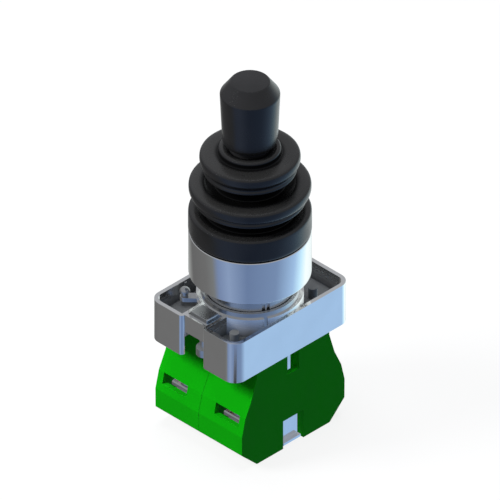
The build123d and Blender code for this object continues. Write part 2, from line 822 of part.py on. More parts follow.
def block_housing(side):
    outer = extrude(Pos(block_gap, 0, 0) * block_face(), block_width, dir=(1, 0, 0))
    long_edges = outer.edges().filter_by(Axis.X)
    rounded_from_z = block_z - block_points[2][1] + loose_gap
    outer = fillet(long_edges.filter_by_position(Axis.Z, block_bottom_z, rounded_from_z),
                   block_edge_r)
    inner_face = offset(block_face(), -block_wall, kind=Kind.INTERSECTION)
    cavity = extrude(Pos(block_gap + block_wall, 0, 0) * inner_face,
                     block_width - 2 * block_wall, dir=(1, 0, 0))
    cavity += block_between(block_gap + block_wall, core_outer_x, -cover_half_y + block_wall,
                            cover_half_y - block_wall, block_z - 2 * block_wall, block_z + 1)
    cavity -= block_between(core_outer_x, block_outer_x, -core_half_y, core_half_y,
                            block_bottom_z, block_z)
    for end in (1, -1):
        y = end * partition_y
        cavity -= block_between(0, block_outer_x, y, y + end * partition_wall,
                                block_bottom_z, slot_top_z)
    cavity -= rod(pedestal_r, block_bottom_z, pedestal_top_z, pad_x, 0)
    cavity -= rod(pedestal_pin_r, block_bottom_z, pedestal_top_z + pedestal_pin_height, pad_x, 0)
    housing = outer - cavity
    reach_y = block_points[-2][0] + 1
    for end in (1, -1):
        near, far = sorted((end * (partition_y + 2 * partition_wall), end * reach_y))
        housing -= block_between(slot_x, slot_x + slot_width, near, far,
                                 slot_top_z - slot_height, slot_top_z)
        housing -= rod(access_r, block_bottom_z - 1, saddle_z - terminal_head_height - 1,
                       terminal_x, end * terminal_y)
    for half_y, z0, z1 in ((clip_half_y, block_bottom_z - 1, block_z + 1),
                           (clip_foot_half_y, block_bottom_z - 1, bottom_notch_z)):
        housing -= block_between(clip_x - clip_gap, clip_x + clip_thickness + clip_gap,
                                 -half_y - clip_gap, half_y + clip_gap, z0, z1)
    notch_x = block_outer_x - notch_depth
    housing -= block_between(notch_x, block_outer_x + 1, -bottom_notch_half_y,
                             bottom_notch_half_y, block_bottom_z - 1, bottom_notch_z)
    housing -= block_between(notch_x, block_outer_x + 1, -top_notch_half_y, top_notch_half_y,
                             top_notch_z, block_z + 1)
    return mirrored(housing, side)


def block_cover(side):
    inner_x = (cover_inner_x + cover_wall, cover_outer_x - cover_wall)
    inner_y = cover_half_y - cover_wall
    cover = block_between(cover_inner_x, cover_outer_x, -cover_half_y, cover_half_y,
                          block_z, cover_top_z)
    cover -= block_between(*inner_x, -inner_y, inner_y, block_z - 1, cover_top_z - cover_wall)
    plug_x = (block_gap + block_wall + running_fit, core_outer_x - running_fit)
    plug_y = cover_half_y - block_wall - running_fit
    plug = block_between(*plug_x, -plug_y, plug_y, block_z - cover_plug, block_z)
    plug -= block_between(plug_x[0] + plug_wall, plug_x[1] - plug_wall, -plug_y + plug_wall,
                          plug_y - plug_wall,
                          block_z - cover_plug - 1, block_z + 1)
    cover += plug
    cover += rod(guide_tube_r, guide_tube_bottom_z, cover_top_z, pad_x, 0)
    cover -= rod(stem_r + loose_gap, guide_tube_bottom_z - 1, cover_top_z + 1, pad_x, 0)
    return mirrored(cover, side)


def plunger(side):
    body = rod(stem_r, stem_bottom_z, plunger_top_z, pad_x, 0)
    body += block_between(pad_x - plunger_half_x, pad_x + plunger_half_x, -plunger_half_y,
                          plunger_half_y, plunger_bottom_z, stem_bottom_z)
    body -= block_between(pad_x - window_half_x, pad_x + window_half_x, -plunger_half_y - 1,
                          plunger_half_y + 1, bridge_z, bridge_z + window_height)
    return mirrored(body, side)


def contact_bridge(side):
    bridge = block_between(pad_x - bridge_half_x, pad_x + bridge_half_x, -bridge_half_y,
                           bridge_half_y, bridge_z, bridge_z + bridge_height)
    for end in (1, -1):
        bridge += rod(rivet_r, bridge_z - rivet_height, bridge_z, pad_x, end * rivet_y)
    return mirrored(bridge, side)


def bridge_spring(side):
    return coil_spring(bridge_coil_r, bridge_wire_r, bridge_z + bridge_height,
                       bridge_z + window_height, bridge_turns, side * pad_x, 0)


def return_spring(side):
    return coil_spring(return_coil_r, return_wire_r, pedestal_top_z, plunger_bottom_z,
                       return_turns, side * pad_x, 0)


def fixed_contact(side, end):
    top_z = slot_top_z + strip_height
    near, far = sorted((end * strip_tip_y, end * strip_step_y))
    strip = block_between(pad_x - strip_half_x, pad_x + strip_half_x, near, far, slot_top_z, top_z)
    near, far = sorted((end * strip_step_y, end * strip_end_y))
    strip += block_between(terminal_x - terminal_half_x, terminal_x + terminal_half_x, near, far,
                           slot_top_z, top_z)
    strip += rod(rivet_r, top_z, top_z + rivet_height, pad_x, end * rivet_y)
    strip -= rod(terminal_screw_r + running_fit, slot_top_z - 1, top_z + 1, terminal_x,
                 end * terminal_y)
    return mirrored(strip, side)


def terminal_clamps():
    clamps = []
    for side in (1, -1):
        for end in (1, -1):
            x, y = side * terminal_x, end * terminal_y
            plate = block_between(x - saddle_half_x, x + saddle_half_x, y - saddle_half_y,
                                  y + saddle_half_y, saddle_z, saddle_z + saddle_height)
            plate = chamfer(plate.edges().filter_by(Axis.X).group_by(Axis.Z)[-1], saddle_edge)
            clamps.append(plate - rod(terminal_screw_r + running_fit, saddle_z - 1, 0, x, y))
    return clamps


def terminal_screws():
    screws = []
    for side in (1, -1):
        for end in (1, -1):
            x, y = side * terminal_x, end * terminal_y
            bottom_z = saddle_z - terminal_head_height
            screw = rod(terminal_head_r, bottom_z, saddle_z, x, y)
            screw += rod(terminal_screw_r, saddle_z, terminal_screw_top_z, x, y)
            screw -= block_between(-through, through, y - terminal_slot_width / 2,
                                   y + terminal_slot_width / 2, -through,
                                   bottom_z + terminal_slot_depth)
            screws.append(screw)
    return screws


def latch_clip(side):
    outer_x = clip_x + clip_thickness
    clip = block_between(clip_x, outer_x, -clip_neck_half_y, clip_neck_half_y,
                         clip_bottom_z, clip_top_z)
    clip += block_between(clip_x, outer_x, -clip_half_y, clip_half_y, block_z, clip_top_z)
    clip += block_between(clip_x, outer_x, -clip_foot_half_y, clip_foot_half_y,
                          clip_bottom_z, clip_foot_top_z)
    clip += block_between(outer_x, outer_x + clip_hook, -clip_half_y, clip_half_y,
                          clip_hook_z, clip_hook_z + clip_hook_height)
    clip += block_between(outer_x, outer_x + clip_tab, -clip_foot_half_y, clip_foot_half_y,
                          clip_bottom_z, clip_bottom_z + clip_tab_height)
    return mirrored(clip, side)


# Write every piece
side_names = {1: "right", -1: "left"}
end_names = {1: "rear", -1: "front"}

single_pieces = {
    "bezel_ring": bezel_ring, "panel_gasket": panel_gasket, "head_body": head_body,
    "pivot_pin": pivot_pin, "guide_plate": guide_plate, "guide_plate_screws": guide_plate_screws,
    "rocker": rocker, "rocker_roll_pin": rocker_roll_pin, "pivot_bushes": pivot_bushes,
    "lever_shaft": lever_shaft, "handle_lock_nut": handle_lock_nut, "lip_sleeve": lip_sleeve,
    "handle_grip": handle_grip, "handle_insert": handle_insert, "boot": boot,
    "boot_stiffener": boot_stiffener, "collar_frame": collar_frame, "lock_ring": lock_ring,
    "lock_knob": lock_knob, "clamp_screw": clamp_screw, "clamp_foot": clamp_foot,
    "terminal_clamps": terminal_clamps, "terminal_screws": terminal_screws,
}
side_pieces = {
    "head_pusher": head_pusher, "centring_spring": centring_spring,
    "block_housing": block_housing, "block_cover": block_cover, "plunger": plunger,
    "contact_bridge": contact_bridge, "bridge_spring": bridge_spring,
    "return_spring": return_spring, "latch_clip": latch_clip,
}

for name, make in single_pieces.items():
    save(make(), name)
for side, side_name in side_names.items():
    for name, make in side_pieces.items():
        save(make(side), name + "_" + side_name)
    for end, end_name in end_names.items():
        save(fixed_contact(side, end), "fixed_contact_" + side_name + "_" + end_name)
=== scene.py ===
import bmesh
import bpy
import math
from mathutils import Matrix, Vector


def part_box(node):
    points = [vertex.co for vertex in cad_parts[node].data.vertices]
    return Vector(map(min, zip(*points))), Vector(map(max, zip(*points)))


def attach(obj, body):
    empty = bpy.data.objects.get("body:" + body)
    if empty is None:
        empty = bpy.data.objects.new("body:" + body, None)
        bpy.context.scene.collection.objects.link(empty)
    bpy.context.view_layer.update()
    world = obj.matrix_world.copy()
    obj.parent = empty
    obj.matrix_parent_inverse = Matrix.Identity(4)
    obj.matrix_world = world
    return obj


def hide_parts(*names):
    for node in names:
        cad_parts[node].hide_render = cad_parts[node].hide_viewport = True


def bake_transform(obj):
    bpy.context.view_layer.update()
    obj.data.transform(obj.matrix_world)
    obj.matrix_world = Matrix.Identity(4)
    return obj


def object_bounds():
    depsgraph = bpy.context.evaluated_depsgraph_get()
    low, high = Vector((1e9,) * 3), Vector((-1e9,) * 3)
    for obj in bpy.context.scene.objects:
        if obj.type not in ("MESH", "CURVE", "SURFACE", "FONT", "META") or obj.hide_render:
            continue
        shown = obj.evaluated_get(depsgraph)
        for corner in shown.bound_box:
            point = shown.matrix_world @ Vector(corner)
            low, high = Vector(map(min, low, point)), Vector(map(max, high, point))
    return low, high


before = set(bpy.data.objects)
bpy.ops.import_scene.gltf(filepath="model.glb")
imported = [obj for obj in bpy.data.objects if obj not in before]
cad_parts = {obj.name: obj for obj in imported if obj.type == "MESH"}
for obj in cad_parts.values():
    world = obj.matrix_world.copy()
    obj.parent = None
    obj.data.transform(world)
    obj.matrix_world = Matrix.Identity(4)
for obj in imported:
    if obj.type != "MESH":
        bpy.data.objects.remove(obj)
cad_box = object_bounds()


# Camera, surroundings and floor
# The joystick stands on a plain white floor and is seen from above its right front corner,
# without perspective. Large soft lights stand at the front left and overhead. The bright metal
# mirrors a room that is grey on the left, blue in front and has a wide window on the right.
mm = 0.001
camera_rise = math.radians(35.264)
camera_distance = 1.2
picture_width = 122.5 * mm
view_direction = Vector((1.0, -1.0, 0.0)).normalized() * math.cos(camera_rise)
view_direction.z = math.sin(camera_rise)
view_centre = Vector((0, 0, 5.8 * mm))
camera_data = bpy.data.cameras.new("camera")
camera_data.type = "ORTHO"
camera_data.ortho_scale = picture_width
camera_data.clip_start = 0.01
camera = bpy.data.objects.new("camera", camera_data)
bpy.context.scene.collection.objects.link(camera)
camera.location = view_centre + view_direction * camera_distance
camera.rotation_euler = (-view_direction).to_track_quat("-Z", "Y").to_euler()
bpy.context.scene.camera = camera
bpy.context.scene.view_settings.view_transform = "Standard"


def soft_light(name, aim_from, width, power, colour):
    """A square area light that faces the middle of the joystick and isn't mirrored in it."""
    data = bpy.data.lights.new(name, "AREA")
    data.shape = "SQUARE"
    data.size = width
    data.energy = power
    data.color = colour
    lamp = bpy.data.objects.new(name, data)
    lamp.location = Vector(aim_from)
    lamp.rotation_euler = (-lamp.location).to_track_quat("-Z", "Y").to_euler()
    lamp.visible_glossy = False
    bpy.context.scene.collection.objects.link(lamp)


soft_light("front_light", (-0.45, -0.65, 0.60), 0.35, 9.4, (1.0, 0.99, 0.97))
soft_light("top_light", (-0.10, 0.05, 1.00), 0.60, 8.0, (1.0, 1.0, 1.0))

room_tones = ((-180, (0.14, 0.14, 0.14)), (-135, (0.16, 0.16, 0.16)), (-118, (0.19, 0.20, 0.20)),
              (-106, (0.19, 0.26, 0.43)), (-85, (0.26, 0.35, 0.54)), (-50, (0.15, 0.22, 0.38)),
              (5, (0.19, 0.28, 0.46)), (45, (0.37, 0.56, 0.83)), (65, (0.62, 0.92, 1.10)),
              (85, (1.00, 1.10, 1.10)), (115, (0.90, 0.99, 1.00)), (150, (0.38, 0.39, 0.38)),
              (180, (0.14, 0.14, 0.14)))
upper_tone = (0.40, 0.41, 0.43)
upper_from, upper_full = -0.10, 0.25
matt_tone = (0.13, 0.13, 0.135)


def add_nodes(tree, *kinds):
    return [tree.nodes.new(kind) for kind in kinds]


def surroundings():
    """Tones by compass direction below the horizon, one tone above it, and dim even fill light."""
    world = bpy.data.worlds.new("studio")
    world.use_nodes = True
    tree = world.node_tree
    background = tree.nodes["Background"]
    place, split, angle, turn, ramp, rise, lift, rays, fill = add_nodes(
        tree, "ShaderNodeTexCoord", "ShaderNodeSeparateXYZ", "ShaderNodeMath",
        "ShaderNodeMapRange", "ShaderNodeValToRGB", "ShaderNodeMapRange", "ShaderNodeMixRGB",
        "ShaderNodeLightPath", "ShaderNodeMixRGB")
    link = tree.links.new
    link(place.outputs["Generated"], split.inputs["Vector"])
    angle.operation = "ARCTAN2"
    link(split.outputs["Y"], angle.inputs[0])
    link(split.outputs["X"], angle.inputs[1])
    link(angle.outputs[0], turn.inputs["Value"])
    turn.inputs["From Min"].default_value = -math.pi
    turn.inputs["From Max"].default_value = math.pi
    link(turn.outputs["Result"], ramp.inputs["Fac"])
    elements = ramp.color_ramp.elements
    while len(elements) < len(room_tones):
        elements.new(0.5)
    for element, (bearing, tone) in zip(elements, room_tones):
        element.position = (bearing + 180) / 360
        element.color = (*tone, 1)
    link(split.outputs["Z"], rise.inputs["Value"])
    rise.inputs["From Min"].default_value = upper_from
    rise.inputs["From Max"].default_value = upper_full
    link(rise.outputs["Result"], lift.inputs["Fac"])
    link(ramp.outputs["Color"], lift.inputs["Color1"])
    lift.inputs["Color2"].default_value = (*upper_tone, 1)
    link(rays.outputs["Is Diffuse Ray"], fill.inputs["Fac"])
    link(lift.outputs["Color"], fill.inputs["Color1"])
    fill.inputs["Color2"].default_value = (*matt_tone, 1)
    link(fill.outputs["Color"], background.inputs["Color"])
    return world


bpy.context.scene.world = surroundings()

floor_tone = (0.85, 0.87, 0.90)
floor_glow_share = 0.86
floor_gap = 0.02 * mm
floor_half = 2.5
floor_material = bpy.data.materials.new("studio_floor")
floor_material.use_nodes = True
floor_tree = floor_material.node_tree
floor_tree.nodes.clear()
floor_out, floor_matt, floor_glow, floor_mix = add_nodes(
    floor_tree, "ShaderNodeOutputMaterial", "ShaderNodeBsdfDiffuse", "ShaderNodeEmission",
    "ShaderNodeMixShader")
floor_matt.inputs["Color"].default_value = (*floor_tone, 1)
floor_glow.inputs["Color"].default_value = (1, 1, 1, 1)
floor_mix.inputs["Fac"].default_value = floor_glow_share
floor_tree.links.new(floor_matt.outputs["BSDF"], floor_mix.inputs[1])
floor_tree.links.new(floor_glow.outputs["Emission"], floor_mix.inputs[2])
floor_tree.links.new(floor_mix.outputs["Shader"], floor_out.inputs["Surface"])

floor_z = cad_box[0][2] - floor_gap
floor_mesh = bpy.data.meshes.new("floor")
floor_mesh.from_pydata([(-floor_half, -floor_half, floor_z), (floor_half, -floor_half, floor_z),
                        (floor_half, floor_half, floor_z), (-floor_half, floor_half, floor_z)],
                       [], [(0, 1, 2, 3)])
floor_mesh.materials.append(floor_material)
floor = bpy.data.objects.new("floor", floor_mesh)
bpy.context.scene.collection.objects.link(floor)
floor.visible_glossy = False
floor.visible_diffuse = False


# Handle grip
# A plain grip of black moulded plastic, slightly wider towards the top, with a wide straight
# chamfer round its flat end. A brass insert is moulded in, and it screws onto the lever shaft.
cloud_low, cloud_high = 0.3, 0.7
grain_height = 0.05 * mm
broad_patches, tone_patches = 260.0, 130.0


def grain_group():
    """The faint grain of a moulded or cast surface: a bumped normal and an uneven roughness."""
    tree = bpy.data.node_groups.new("surface_grain", "ShaderNodeTree")
    face = tree.interface
    for name, start in (("Grains per Metre", 4000.0), ("Depth", 0.2), ("Roughness", 0.4),
                        ("Roughness Spread", 0.05)):
        socket = face.new_socket(name, in_out="INPUT", socket_type="NodeSocketFloat")
        socket.default_value = start
    face.new_socket("Roughness", in_out="OUTPUT", socket_type="NodeSocketFloat")
    face.new_socket("Normal", in_out="OUTPUT", socket_type="NodeSocketVector")
    start, end, place, fine, broad, low, high, spread, bump = add_nodes(
        tree, "NodeGroupInput", "NodeGroupOutput", "ShaderNodeTexCoord", "ShaderNodeTexNoise",
        "ShaderNodeTexNoise", "ShaderNodeMath", "ShaderNodeMath", "ShaderNodeMapRange",
        "ShaderNodeBump")
    link = tree.links.new
    for noise in (fine, broad):
        link(place.outputs["Object"], noise.inputs["Vector"])
    link(start.outputs["Grains per Metre"], fine.inputs["Scale"])
    fine.inputs["Detail"].default_value = 3.0
    broad.inputs["Scale"].default_value = broad_patches
    broad.inputs["Detail"].default_value = 5.0
    low.operation = "SUBTRACT"
    high.operation = "ADD"
    for node in (low, high):
        link(start.outputs["Roughness"], node.inputs[0])
        link(start.outputs["Roughness Spread"], node.inputs[1])
    link(broad.outputs["Fac"], spread.inputs["Value"])
    spread.inputs["From Min"].default_value = cloud_low
    spread.inputs["From Max"].default_value = cloud_high
    link(low.outputs[0], spread.inputs["To Min"])
    link(high.outputs[0], spread.inputs["To Max"])
    link(fine.outputs["Fac"], bump.inputs["Height"])
    link(start.outputs["Depth"], bump.inputs["Strength"])
    bump.inputs["Distance"].default_value = grain_height
    link(spread.outputs["Result"], end.inputs["Roughness"])
    link(bump.outputs["Normal"], end.inputs["Normal"])
    return tree


def edge_highlit_tone_group():
    """A colour that wanders over the surface and is painted a little lighter on the rounded edges,
    as a painted highlight.
    """
    tree = bpy.data.node_groups.new("edge_highlit_tone", "ShaderNodeTree")
    face = tree.interface
    for name in ("Dark Tone", "Light Tone", "Edge Highlight Tone"):
        face.new_socket(name, in_out="INPUT", socket_type="NodeSocketColor")
    edge_highlight_share = face.new_socket("Edge Highlight Share", in_out="INPUT", socket_type="NodeSocketFloat")
    edge_highlight_share.default_value = 0.3
    face.new_socket("Color", in_out="OUTPUT", socket_type="NodeSocketColor")
    start, end, place, cloud, spread, tone, edge, patchy, share, highlighted_edges = add_nodes(
        tree, "NodeGroupInput", "NodeGroupOutput", "ShaderNodeTexCoord", "ShaderNodeTexNoise",
        "ShaderNodeMapRange", "ShaderNodeMixRGB", "ShaderNodeAttribute", "ShaderNodeMath",
        "ShaderNodeMath", "ShaderNodeMixRGB")
    link = tree.links.new
    link(place.outputs["Object"], cloud.inputs["Vector"])
    cloud.inputs["Scale"].default_value = tone_patches
    cloud.inputs["Detail"].default_value = 4.0
    link(cloud.outputs["Fac"], spread.inputs["Value"])
    spread.inputs["From Min"].default_value = cloud_low
    spread.inputs["From Max"].default_value = cloud_high
    link(spread.outputs["Result"], tone.inputs["Fac"])
    link(start.outputs["Dark Tone"], tone.inputs["Color1"])
    link(start.outputs["Light Tone"], tone.inputs["Color2"])
    edge.attribute_name = "painted_edge_highlight"
    for node in (patchy, share):
        node.operation = "MULTIPLY"
    link(edge.outputs["Fac"], patchy.inputs[0])
    link(spread.outputs["Result"], patchy.inputs[1])
    link(patchy.outputs[0], share.inputs[0])
    link(start.outputs["Edge Highlight Share"], share.inputs[1])
    link(share.outputs[0], highlighted_edges.inputs["Fac"])
    link(tone.outputs["Color"], highlighted_edges.inputs["Color1"])
    link(start.outputs["Edge Highlight Tone"], highlighted_edges.inputs["Color2"])
    link(highlighted_edges.outputs["Color"], end.inputs["Color"])
    return tree


surface_grain = grain_group()
edge_highlit_tone = edge_highlit_tone_group()


def finish_of(name, colour, roughness, spread=0.04, metallic=0.0, grains=4000.0, depth=0.2,
              shift=0.25, edge_highlight_share=0.3, gloss=0.5):
    """A material whose colour wanders a little over the surface, with its own grain."""
    material = bpy.data.materials.new(name)
    material.use_nodes = True
    tree = material.node_tree
    shader = tree.nodes["Principled BSDF"]
    grain, tone = add_nodes(tree, "ShaderNodeGroup", "ShaderNodeGroup")
    grain.node_tree = surface_grain
    grain.inputs["Grains per Metre"].default_value = grains
    grain.inputs["Depth"].default_value = depth
    grain.inputs["Roughness"].default_value = roughness
    grain.inputs["Roughness Spread"].default_value = spread
    # Painted highlight: the rounded edges are painted lighter than the material's own colour.
    edge_highlight_tone = [0.5 * c + 0.4 * max(colour) + 0.02 for c in colour]
    tone.node_tree = edge_highlit_tone
    tone.inputs["Dark Tone"].default_value = (*[c * (1 - shift) for c in colour], 1)
    tone.inputs["Light Tone"].default_value = (*[min(c * (1 + shift), 1.0) for c in colour], 1)
    tone.inputs["Edge Highlight Tone"].default_value = (*edge_highlight_tone, 1)
    tone.inputs["Edge Highlight Share"].default_value = edge_highlight_share
    tree.links.new(tone.outputs["Color"], shader.inputs["Base Color"])
    tree.links.new(grain.outputs["Roughness"], shader.inputs["Roughness"])
    tree.links.new(grain.outputs["Normal"], shader.inputs["Normal"])
    shader.inputs["Metallic"].default_value = metallic
    shader.inputs["Specular IOR Level"].default_value = gloss
    return material


weld_reach = 0.0005 * mm


def revolve_tree():
    """Turns an outline of (radius less pitch radius, height) edges about Z into a closed skin."""
    tree = bpy.data.node_groups.new("revolve_outline", "GeometryNodeTree")
    face = tree.interface
    face.new_socket("Geometry", in_out="INPUT", socket_type="NodeSocketGeometry")
    for name, kind in (("Steps Round", "NodeSocketInt"), ("Pitch Radius", "NodeSocketFloat"),
                       ("Material", "NodeSocketMaterial")):
        face.new_socket(name, in_out="INPUT", socket_type=kind)
    face.new_socket("Geometry", in_out="OUTPUT", socket_type="NodeSocketGeometry")
    start, end, outline, circle, sweep, weld, real, finish = add_nodes(
        tree, "NodeGroupInput", "NodeGroupOutput", "GeometryNodeMeshToCurve",
        "GeometryNodeCurvePrimitiveCircle", "GeometryNodeCurveToMesh",
        "GeometryNodeMergeByDistance", "GeometryNodeRealizeInstances",
        "GeometryNodeSetMaterial")
    link = tree.links.new
    link(start.outputs["Geometry"], outline.inputs["Mesh"])
    link(start.outputs["Steps Round"], circle.inputs["Resolution"])
    link(start.outputs["Pitch Radius"], circle.inputs["Radius"])
    link(circle.outputs["Curve"], sweep.inputs["Curve"])
    link(outline.outputs["Curve"], sweep.inputs["Profile Curve"])
    link(sweep.outputs["Mesh"], weld.inputs["Geometry"])
    weld.inputs["Distance"].default_value = weld_reach
    link(weld.outputs["Geometry"], real.inputs["Geometry"])
    link(real.outputs["Geometry"], finish.inputs["Geometry"])
    link(start.outputs["Material"], finish.inputs["Material"])
    link(finish.outputs["Geometry"], end.inputs["Geometry"])
    return tree


revolve_outline = revolve_tree()


def set_input(modifier, name, value):
    """Sets a Geometry Nodes input by its socket's identifier."""
    for item in modifier.node_group.interface.items_tree:
        if item.item_type == "SOCKET" and item.in_out == "INPUT" and item.name == name:
            modifier[item.identifier] = value


def made_plain(obj):
    """Turns the object's modifiers into a plain mesh."""
    graph = bpy.context.evaluated_depsgraph_get()
    mesh = bpy.data.meshes.new_from_object(obj.evaluated_get(graph), depsgraph=graph)
    obj.modifiers.clear()
    obj.data = mesh
    mesh.name = obj.name
    return obj


def faced_outwards(obj):
    """Points every face of a closed mesh outwards."""
    work = bmesh.new()
    work.from_mesh(obj.data)
    bmesh.ops.recalc_face_normals(work, faces=work.faces)
    if work.calc_volume(signed=True) < 0:
        bmesh.ops.reverse_faces(work, faces=work.faces)
    work.to_mesh(obj.data)
    work.free()
    return obj


def smooth_shaded(obj, sharp_over=32.0):
    """Smooth shading that keeps the edges sharper than an angle."""
    obj.data.shade_smooth()
    obj.data.set_sharp_from_angle(angle=math.radians(sharp_over))
    return obj


def rounded(points, radius, steps=4):
    """The (radius, height) outline with its corners cut to arcs, at most a third of each side."""
    result = []
    count = len(points)
    for i in range(count):
        before, corner, after = (Vector(points[(i + k) % count]) for k in (-1, 0, 1))
        if corner.x < 1e-6:
            result.append(corner)
            continue
        reach = min(radius, (before - corner).length / 3, (after - corner).length / 3)
        enter = corner + (before - corner).normalized() * reach
        leave = corner + (after - corner).normalized() * reach
        for k in range(steps + 1):
            t = k / steps
            result.append(enter.lerp(corner, t).lerp(corner.lerp(leave, t), t))
    return result


def turned_piece(name, outline, material, steps_round=128, sharp_over=32.0):
    """A closed outline of (radius, height) in millimetres, turned about the joystick's axis."""
    pitch_radius = 10.0 * mm
    points = [(x * mm - pitch_radius, -z * mm, 0.0) for x, z in outline]
    edges = [(i, (i + 1) % len(points)) for i in range(len(points))]
    mesh = bpy.data.meshes.new(name)
    mesh.from_pydata(points, edges, [])
    piece = bpy.data.objects.new(name, mesh)
    bpy.context.scene.collection.objects.link(piece)
    turn = piece.modifiers.new("turn", "NODES")
    turn.node_group = revolve_outline
    set_input(turn, "Steps Round", steps_round)
    set_input(turn, "Pitch Radius", pitch_radius)
    set_input(turn, "Material", material)
    return smooth_shaded(faced_outwards(made_plain(piece)), sharp_over)


grip_plastic = finish_of("grip_plastic", (0.0095, 0.0095, 0.0105), 0.24, spread=0.05, depth=0.12,
                         gloss=0.58)
grip_bottom, grip_shoulder, grip_end = 38.6, 52.9, 56.5
grip_outline = [(0.0, grip_bottom), (6.5, grip_bottom), (6.85, grip_bottom + 0.8), (7.15, 46.0),
                (7.45, grip_shoulder), (4.85, grip_end), (0.0, grip_end)]
grip = turned_piece("joystick_grip", rounded(grip_outline, 0.28), grip_plastic, 160, 50.0)
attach(grip, "lever")
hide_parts("handle_grip")


# Boot
# A soft black rubber bellows with two folds, which keeps dirt and water out of the head. Its
# lip grips the sleeve under the handle, and its thick base ring sits on the bezel.
# Painted top light: what faces up is painted a lighter grey.
top_light_tone = (0.0180, 0.0180, 0.0183)
# Painted shade: deep in the troughs the rubber is painted near black and given less sheen.
trough_shade_tone = (0.0024, 0.0024, 0.0026)
fold_gloss, trough_gloss = 0.58, 0.15


def rubber_finish():
    """Black rubber, painted lighter on what faces up as painted top light, and painted near black
    down in the folds as painted shade.
    """
    material = finish_of("boot_rubber", (0.0085, 0.0085, 0.0095), 0.27, spread=0.06,
                         grains=2600.0, depth=0.10, shift=0.3)
    tree = material.node_tree
    shader = tree.nodes["Principled BSDF"]
    tone = shader.inputs["Base Color"].links[0].from_node
    fold, trough_shaded, top_light_attr, top_lit, shine = add_nodes(
        tree, "ShaderNodeAttribute", "ShaderNodeMixRGB", "ShaderNodeAttribute",
        "ShaderNodeMixRGB", "ShaderNodeMapRange")
    top_light_attr.attribute_name = "painted_top_light"
    tree.links.new(top_light_attr.outputs["Fac"], top_lit.inputs["Fac"])
    tree.links.new(tone.outputs["Color"], top_lit.inputs["Color1"])
    top_lit.inputs["Color2"].default_value = (*top_light_tone, 1)
    fold.attribute_name = "trough_shade"
    tree.links.new(fold.outputs["Fac"], trough_shaded.inputs["Fac"])
    tree.links.new(top_lit.outputs["Color"], trough_shaded.inputs["Color1"])
    trough_shaded.inputs["Color2"].default_value = (*trough_shade_tone, 1)
    tree.links.new(trough_shaded.outputs["Color"], shader.inputs["Base Color"])
    tree.links.new(fold.outputs["Fac"], shine.inputs["Value"])
    shine.inputs["To Min"].default_value = fold_gloss
    shine.inputs["To Max"].default_value = trough_gloss
    tree.links.new(shine.outputs["Result"], shader.inputs["Specular IOR Level"])
    return material


boot_rubber = rubber_finish()


def softened(points, rounds):
    """Cuts every corner of a closed outline, as many times as there are rounds."""
    for _ in range(rounds):
        cut = []
        for i, point in enumerate(points):
            here, there = Vector(point), Vector(points[(i + 1) % len(points)])
            cut += [here.lerp(there, 0.25), here.lerp(there, 0.75)]
        points = cut
    return points


base_ring = [(15.2, 12.25), (15.2, 14.6), (15.2, 17.9), (15.05, 18.5), (14.3, 18.9)]
low_trough = [(13.1, 18.9), (12.7, 18.5), (11.7, 18.4), (11.3, 18.5), (11.2, 19.0), (11.2, 21.1)]
low_fold = [(12.9, 21.6), (13.9, 21.75), (14.0, 22.4), (13.5, 23.2), (14.7, 23.7), (15.1, 24.6),
            (15.1, 25.9), (14.8, 26.5), (13.4, 26.8)]
middle_trough = [(11.3, 26.9), (10.9, 26.4), (9.2, 26.3), (8.8, 26.4), (8.7, 26.9), (8.7, 29.3)]
top_fold = [(10.5, 29.8), (11.4, 30.0), (11.6, 30.6), (11.1, 31.4), (12.0, 32.2), (12.45, 33.2),
            (12.45, 34.5), (12.15, 35.1), (11.0, 35.35)]
lip = [(9.2, 35.35), (8.2, 35.25), (7.85, 35.35), (7.75, 35.8), (7.75, 36.7), (7.2, 37.2),
       (6.4, 37.2), (5.9, 36.9), (5.25, 36.8)]
inner_skin = [(5.25, 35.2), (8.6, 34.4), (10.6, 34.2), (11.3, 33.7), (11.1, 33.0), (9.9, 31.0),
              (8.4, 30.4), (7.8, 29.6), (7.7, 27.6), (8.0, 25.6), (10.6, 25.5), (13.2, 25.4),
              (13.9, 25.1), (13.7, 24.7), (12.6, 23.2), (10.8, 22.2), (10.2, 21.2),
              (10.2, 19.2), (10.6, 17.8), (12.5, 17.6), (13.1, 17.0), (13.1, 12.25)]
boot_skin = base_ring + low_trough + low_fold + middle_trough + top_fold + lip + inner_skin
boot = turned_piece("boot_bellows", softened(boot_skin, 2), boot_rubber, 144, 60.0)
outer_line = ((12.0, 15.2), (25.5, 15.1), (33.5, 12.45), (34.6, 12.3), (35.0, 11.2), (36.4, 11.0),
              (36.9, 9.0), (40.0, 9.0))
black_from, black_over = 2.2, 0.8
top_light_from, top_light_over = 0.82, 0.15


def trough_shade(point):
    """Painted shade: 0 on the rings and folds, 1 deep in the troughs, by the distance inside the
    outer line.
    """
    radius, height = math.hypot(point.x, point.y) / mm, point.z / mm
    for (low_z, low_r), (high_z, high_r) in zip(outer_line, outer_line[1:]):
        if low_z <= height < high_z:
            outer = low_r + (high_r - low_r) * (height - low_z) / (high_z - low_z)
            return min(max((outer - radius - black_from) / black_over, 0.0), 1.0)
    return 0.0


def painted_top_light(point):
    """Painted top light: 1 on what faces up outside the troughs, where the rubber is painted
    lighter.
    """
    facing_up = min(max((point.normal.z - top_light_from) / top_light_over, 0.0), 1.0)
    return facing_up * (1.0 - trough_shade(point.co))


# Painted shade in the troughs, kept as a point attribute.
trough_shade_mask = boot.data.attributes.new("trough_shade", "FLOAT", "POINT")
trough_shade_mask.data.foreach_set("value", [trough_shade(v.co) for v in boot.data.vertices])
# Painted top light on what faces up, kept as a point attribute.
top_light_mask = boot.data.attributes.new("painted_top_light", "FLOAT", "POINT")
top_light_mask.data.foreach_set("value", [painted_top_light(v) for v in boot.data.vertices])
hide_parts("boot")
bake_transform(boot)


